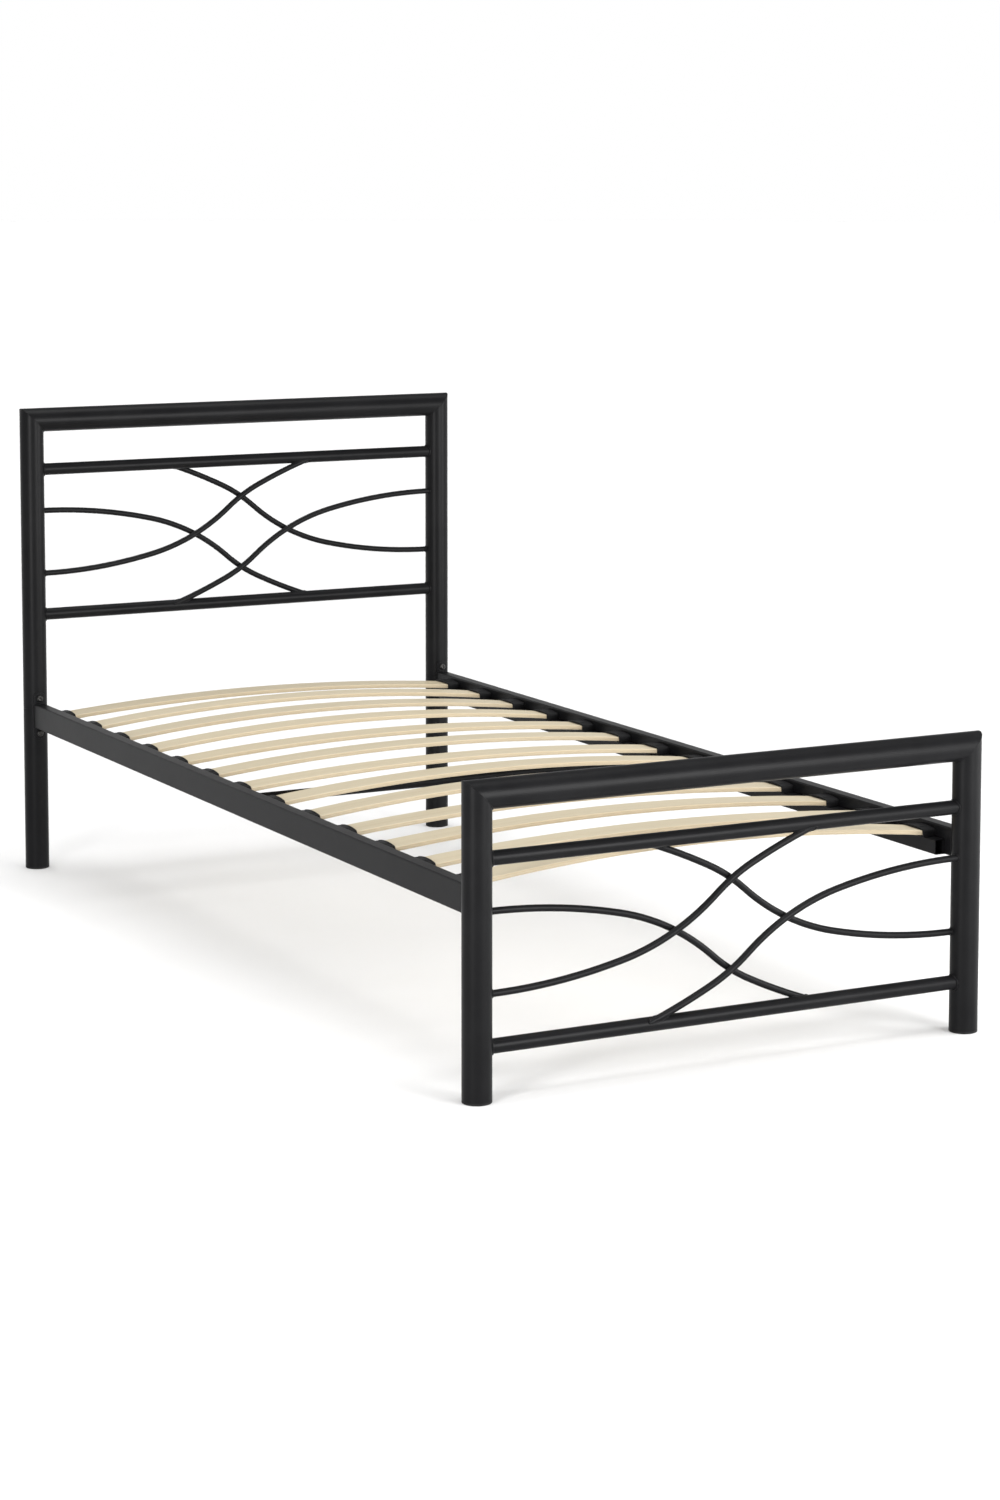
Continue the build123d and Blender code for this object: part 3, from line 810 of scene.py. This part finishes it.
def add_button_screw(shape, screw, base, out, across):
    """Button-head socket screw; base lies under its head and out points out of the head."""
    up = out.normalized()
    u = across.normalized()
    v = up.cross(u)
    angles = around(48)
    head_radius, head_height = screw["head_radius"], screw["head_height"]
    shank_radius, shank_length = screw["shank_radius"], screw["shank_length"]
    key, socket_floor = screw["key"], head_height - screw["key_depth"]

    def ring(radius, height):
        return circle(base + up * height, u, v, radius, angles)

    def hexagon(height):
        middle = base + up * height
        return [middle + (u * cos(a) + v * sin(a)) * hex_radius(a, key) for a in angles]

    rings = [
        ring(shank_radius * 0.82, -shank_length),
        ring(shank_radius, -shank_length + shank_radius * 0.2),
        ring(shank_radius, 0.0),
        ring(head_radius - HEAD_CHAMFER, 0.0),
        ring(head_radius, HEAD_CHAMFER),
        ring(head_radius, HEAD_RIM),
    ]
    flat = head_radius * 0.52
    for a in fan(0, pi / 2, 8):
        radius = flat + (head_radius - flat) * cos(a)
        rings.append(ring(radius, HEAD_RIM + (head_height - HEAD_RIM) * sin(a)))
    rings.append(ring(key / 2 / cos(pi / 6) + HEAD_CHAMFER, head_height))
    rings.append(hexagon(head_height - HEAD_CHAMFER))
    rings.append(hexagon(socket_floor))
    rings.append(ring(key * 0.2, socket_floor - HEAD_CHAMFER))
    shape.skin(rings)


bolts = Shape()
bolt_offset_z = size("rail_bolts").z / 2 - RAIL_BOLT["head_radius"]
for end_sign in ENDS.values():
    for side in SIDES.values():
        for level in (-1, 1):
            y = end_sign * (POST_Y - SADDLE_RADIUS)
            base = Vector((side * POST_X, y, SADDLE_Z + level * bolt_offset_z))
            turned = Matrix.Rotation(0.4 * (side + 2 * level + 3 * end_sign), 3, "Y")
            across = turned @ Vector((1, 0, 0))
            add_button_screw(bolts, RAIL_BOLT, base, Vector((0, -end_sign, 0)), across)
bolts.make("rail_bolt_heads", "bolt_black", replaces=["rail_bolts"], sharp=35)

screws = Shape()
screw_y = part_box("brace_screws")[1].y - BRACE_SCREW["head_radius"]
for side in SIDES.values():
    for y in (-screw_y, screw_y):
        base = Vector((side * FLANGE_LOW.x, y, BRACE_Z))
        turned = y * 60 + side
        across = Vector((0, cos(turned), sin(turned)))
        add_button_screw(screws, BRACE_SCREW, base, Vector((-side, 0, 0)), across)
screws.make("brace_screw_heads", "bolt_black", replaces=["brace_screws"], sharp=35)


# ---------------------------------------------------------------- saddle plates and brace plates

SADDLE_CORNER = 0.008
SADDLE_EDGE = 0.0007
SADDLE_GAP = 0.00005
FLANGE_CORNER = 0.005
FLANGE_EDGE = 0.0006


def plate_rings(width, height, corner, edge, front, back):
    """Loops that wrap a thin rounded plate from the middle of its back to the middle of its front.

    front and back turn a place in the plate's outline and a depth below the surface into a point.
    """
    limit = min(width, height) / 2
    insets = [limit * f for f in (0.98, 0.8, 0.6, 0.4, 0.2)]
    quarter = [pi / 2 * k / 3 for k in range(4)]

    def ring(face, inset, deep):
        radius = max(corner - inset, 0.02 * limit)
        outline = rounded_outline(width - 2 * inset, height - 2 * inset, radius)
        return [face(u, w, deep) for u, w in outline]

    rings = [ring(back, inset, 0.0) for inset in insets]
    rings += [ring(back, edge * (1 - sin(t)), edge * (1 - cos(t))) for t in quarter]
    rings += [ring(front, edge * (1 - sin(t)), edge * (1 - cos(t))) for t in reversed(quarter)]
    rings += [ring(front, inset, 0.0) for inset in reversed(insets)]
    return rings


for end, end_sign in ENDS.items():
    for name, side in SIDES.items():
        middle = Vector((side * POST_X, end_sign * POST_Y, SADDLE_Z))

        def on_post(radius, u, w):
            return middle + Vector((u, -end_sign * sqrt(radius**2 - u**2), w))

        saddle = Shape()
        saddle.skin(
            plate_rings(
                SADDLE_SIZE.x, SADDLE_SIZE.z, SADDLE_CORNER, SADDLE_EDGE,
                lambda u, w, deep: on_post(SADDLE_RADIUS - deep, u, w),
                lambda u, w, deep: on_post(POST_RADIUS + SADDLE_GAP + deep, u, w),
            )
        )
        saddle.make(
            f"saddle_plate_{end}_{name}", "frame_black",
            replaces=[f"rail_saddle_{end}_{name}"], sharp=50,
        )

flange_size = FLANGE_HIGH - FLANGE_LOW
for name, side in SIDES.items():
    flange = Shape()
    flange.skin(
        plate_rings(
            flange_size.y, flange_size.z, FLANGE_CORNER, FLANGE_EDGE,
            lambda u, w, deep: Vector((side * (FLANGE_LOW.x + deep), u, BRACE_Z + w)),
            lambda u, w, deep: Vector((side * (FLANGE_HIGH.x - deep), u, BRACE_Z + w)),
        )
    )
    flange.make(f"brace_plate_{name}", "frame_black", replaces=[f"brace_flange_{name}"], sharp=50)


# ---------------------------------------------------------------- slat holders

HOLDER_LOW, HOLDER_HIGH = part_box("slat_holders_right")
HOLDER_WIDTH = HOLDER_HIGH.y - HOLDER_LOW.y - (SLAT_Y[-1] - SLAT_Y[0])
HOLDER_HEIGHT = HOLDER_HIGH.z - LEDGE_HIGH.z
HOLDER_DEPTH = HOLDER_HIGH.x - HOLDER_LOW.x
HOLDER_CORNER = 0.0065
# Half chord and rise of the hood's arc above the eaves give its radius.
HOOD_RISE = HOLDER_HEIGHT - 0.0135
HOOD_RADIUS = ((HOLDER_WIDTH / 2) ** 2 + HOOD_RISE**2) / (2 * HOOD_RISE)
SOLE_EDGE = 0.0006
BODY_INSET = 0.0007
LIP_DEPTH = 0.0036
LIP_EDGE = 0.0010
POCKET_WIDTH = 0.0612
POCKET_FLOOR = 0.0012
POCKET_HEIGHT = 0.0116
POCKET_CORNER = 0.0025
POCKET_BACK = 0.0032
POCKET_MIDDLE = POCKET_FLOOR + POCKET_HEIGHT / 2
POCKET_POINTS = 120
RIB_OFFSET = 0.014
RIB_SECTION = (
    (-0.0010, -0.0010), (0.0010, -0.0010), (0.0009, 0.0002),
    (0.0005, 0.0005), (-0.0005, 0.0005), (-0.0009, 0.0002),
)
# Radius and height of the peg's loops about the ledge's top.
PEG_RINGS = ((0.0040, 0.0006), (0.0040, -0.0062), (0.0041, -0.0068), (0.0030, -0.0090))


def hood_outline(inset):
    """Holder's outer section, sampled finely, drawn in from the CAD outline by an inset."""
    half = HOLDER_WIDTH / 2 - inset
    radius = HOOD_RADIUS - inset
    corner = HOLDER_CORNER - inset
    arc_middle = HOLDER_HEIGHT - HOOD_RADIUS
    # The corner arc touches the side and the hood from inside.
    corner_v = half - corner
    corner_w = arc_middle + sqrt((radius - corner) ** 2 - corner_v**2)
    touch = asin(corner_v / (radius - corner))
    right = [(half, min(inset, SOLE_EDGE)), (half, corner_w)]
    for a in fan(0, pi / 2 - touch, 12):
        right.append((corner_v + corner * cos(a), corner_w + corner * sin(a)))
    for a in fan(touch, 0, 24):
        right.append((radius * sin(a), arc_middle + radius * cos(a)))
    left = [(-v, w) for v, w in reversed(right)]
    return right + left[1:]


def arch_outline(inset, directions):
    """Where each ray from the pocket's middle meets the holder's outer section."""
    polar = sorted((atan2(w - POCKET_MIDDLE, v), v, w) for v, w in hood_outline(inset))
    (first, *first_place), (last, *last_place) = polar[0], polar[-1]
    polar = [(last - 2 * pi, *last_place), *polar, (first + 2 * pi, *first_place)]
    points = []
    for dv, dw in directions:
        angle = atan2(dw, dv)
        for (a0, v0, w0), (a1, v1, w1) in zip(polar, polar[1:]):
            if a0 <= angle <= a1 and a1 > a0:
                break
        # Crossing of the ray with that side of the outline.
        ev, ew = v1 - v0, w1 - w0
        t = (v0 * ew - (w0 - POCKET_MIDDLE) * ev) / (dv * ew - dw * ev)
        points.append((dv * t, POCKET_MIDDLE + dw * t))
    return points


def pocket_outline():
    corners = rounded_outline(POCKET_WIDTH, POCKET_HEIGHT, POCKET_CORNER, 5)
    spacing = 2 * (POCKET_WIDTH + POCKET_HEIGHT) / POCKET_POINTS
    return respaced([(u, w, 0) for u, w in corners], True, spacing)[0]


def add_holder(shape, side, y):
    """One slat pocket: body, raised lip round its mouth, two ribs on its hood, the peg below."""
    inner = pocket_outline()
    directions = [(p.x / p.length, p.y / p.length) for p in inner]
    lip = HOLDER_DEPTH - LIP_DEPTH

    def place(points, depth):
        """Points of a section, at a depth from the rail towards the middle of the bed."""
        x = side * (HOLDER_HIGH.x - depth)
        return [Vector((x, y + v, LEDGE_HIGH.z + w)) for v, w in points]

    rings = [
        place(arch_outline(inset, directions), depth)
        for inset, depth in (
            (BODY_INSET + 0.0005, 0.0),
            (BODY_INSET, 0.0005),
            (BODY_INSET, lip - 0.0006),
            (BODY_INSET * 0.3, lip),
            (0.0, lip + 0.0005),
            *((LIP_EDGE * (1 - cos(t)), HOLDER_DEPTH - LIP_EDGE * (1 - sin(t)))
              for t in (0, *fan(0, pi / 2, 4))),
        )
    ]
    flared = [(p.x * 1.008, POCKET_MIDDLE + p.y * 1.04) for p in inner]
    flush = [(p.x, POCKET_MIDDLE + p.y) for p in inner]
    rings.append(place(flared, HOLDER_DEPTH))
    for depth in (HOLDER_DEPTH - 0.0006, HOLDER_DEPTH * 0.5, POCKET_BACK):
        rings.append(place(flush, depth))
    shape.skin(rings)

    for offset in (-RIB_OFFSET, RIB_OFFSET):
        top = HOLDER_HEIGHT - HOOD_RADIUS + sqrt((HOOD_RADIUS - BODY_INSET) ** 2 - offset**2)
        section = [(offset + v, top + w) for v, w in RIB_SECTION]
        shape.skin([place(section, 0.0012), place(section, lip - 0.0002)])

    peg = Vector((side * (LEDGE_LOW.x + LEDGE_HIGH.x) / 2, y, LEDGE_HIGH.z))
    east, north, up = Matrix.Identity(3)
    shape.skin([circle(peg + up * z, east, north, r, around(24)) for r, z in PEG_RINGS])


for name, side in SIDES.items():
    holders = Shape()
    for y in SLAT_Y:
        add_holder(holders, side, y)
    holders.make(
        f"slat_pockets_{name}", "holder_plastic", replaces=[f"slat_holders_{name}"], sharp=38
    )


# ---------------------------------------------------------------- studio

FLOOR_RADIUS = 60.0

floor_mesh = bpy.data.meshes.new("floor")
rim = [(FLOOR_RADIUS * cos(a), FLOOR_RADIUS * sin(a), 0.0) for a in around(48)]
floor_mesh.from_pydata(rim, [], [tuple(range(len(rim)))])
floor_mesh.materials.append(pale_floor())
floor = bpy.data.objects.new("floor", floor_mesh)
bpy.context.scene.collection.objects.link(floor)

# White near the horizon, dimmer overhead.
world = bpy.data.worlds.new("studio")
bpy.context.scene.world = world
world.use_nodes = True
sky = world.node_tree
sky_point = sky.nodes.new("ShaderNodeTexCoord")
sky_axes = sky.nodes.new("ShaderNodeSeparateXYZ")
sky_ramp = sky.nodes.new("ShaderNodeValToRGB")
sky.links.new(sky_point.outputs["Generated"], sky_axes.inputs[0])
sky.links.new(sky_axes.outputs["Z"], sky_ramp.inputs[0])
sky.links.new(sky_ramp.outputs[0], sky.nodes["Background"].inputs["Color"])
for element, (position, level) in zip(sky_ramp.color_ramp.elements, ((0.05, 1.0), (0.35, 0.30))):
    element.position = position
    element.color = (level, level, level, 1.0)


def add_lamp(light, place):
    lamp = bpy.data.objects.new(light.name, light)
    lamp.location = place
    bpy.context.scene.collection.objects.link(lamp)
    return lamp


def add_softbox(name, place, target, width, height, power):
    light = bpy.data.lights.new(name, "AREA")
    light.shape = "RECTANGLE"
    light.size = width
    light.size_y = height
    light.energy = power
    lamp = add_lamp(light, place)
    lamp.visible_camera = False
    lamp.rotation_euler = (Vector(target) - Vector(place)).to_track_quat("-Z", "Y").to_euler()


overhead = bpy.data.lights.new("overhead_silk", "SUN")
overhead.energy = 2.7
overhead.angle = radians(50)
add_lamp(overhead, (0.0, 0.0, 6.0))
# The softboxes stand low, because an upright tube seen from above mirrors what is low down.
add_softbox("front_softbox", (1.6, -4.9, 1.3), (0.0, -0.6, 0.4), 2.0, 2.3, 205.0)
add_softbox("right_softbox", (4.3, -3.0, 1.3), (0.0, -0.6, 0.4), 2.0, 2.3, 165.0)
add_softbox("rim_softbox", (-1.1, 4.6, 2.1), (-0.48, 0.0, 0.34), 2.8, 1.7, 22.0)
add_softbox("left_softbox", (-3.9, -2.9, 1.0), (0.0, 0.0, 0.4), 0.9, 1.9, 130.0)


# ---------------------------------------------------------------- camera

CAMERA_PLACE = Vector((-3.00516, -5.86308, 1.56516))
YAW = 0.4874326
PITCH = 0.1049863
ROLL = -0.0006452
SENSOR_WIDTH = 36.0
# Focal length over the picture's longer side, which the sensor's width spans.
FOCAL = 3415.14 / 1500

forward = Vector((sin(YAW) * cos(PITCH), cos(YAW) * cos(PITCH), -sin(PITCH)))
level_right = Vector((cos(YAW), -sin(YAW), 0.0))
level_down = forward.cross(level_right)
right = level_right * cos(ROLL) + level_down * sin(ROLL)
down = level_down * cos(ROLL) - level_right * sin(ROLL)
camera_data = bpy.data.cameras.new("camera")
camera_data.sensor_width = SENSOR_WIDTH
camera_data.lens = FOCAL * SENSOR_WIDTH
camera_data.shift_y = -1.0 / 6.0
camera_data.clip_start = 0.1
camera_data.clip_end = 200.0
camera = bpy.data.objects.new("camera", camera_data)
axes = Matrix((right, -down, -forward)).transposed()
camera.matrix_world = Matrix.Translation(CAMERA_PLACE) @ axes.to_4x4()
bpy.context.scene.collection.objects.link(camera)
bpy.context.scene.camera = camera
bpy.context.scene.view_settings.view_transform = "Standard"
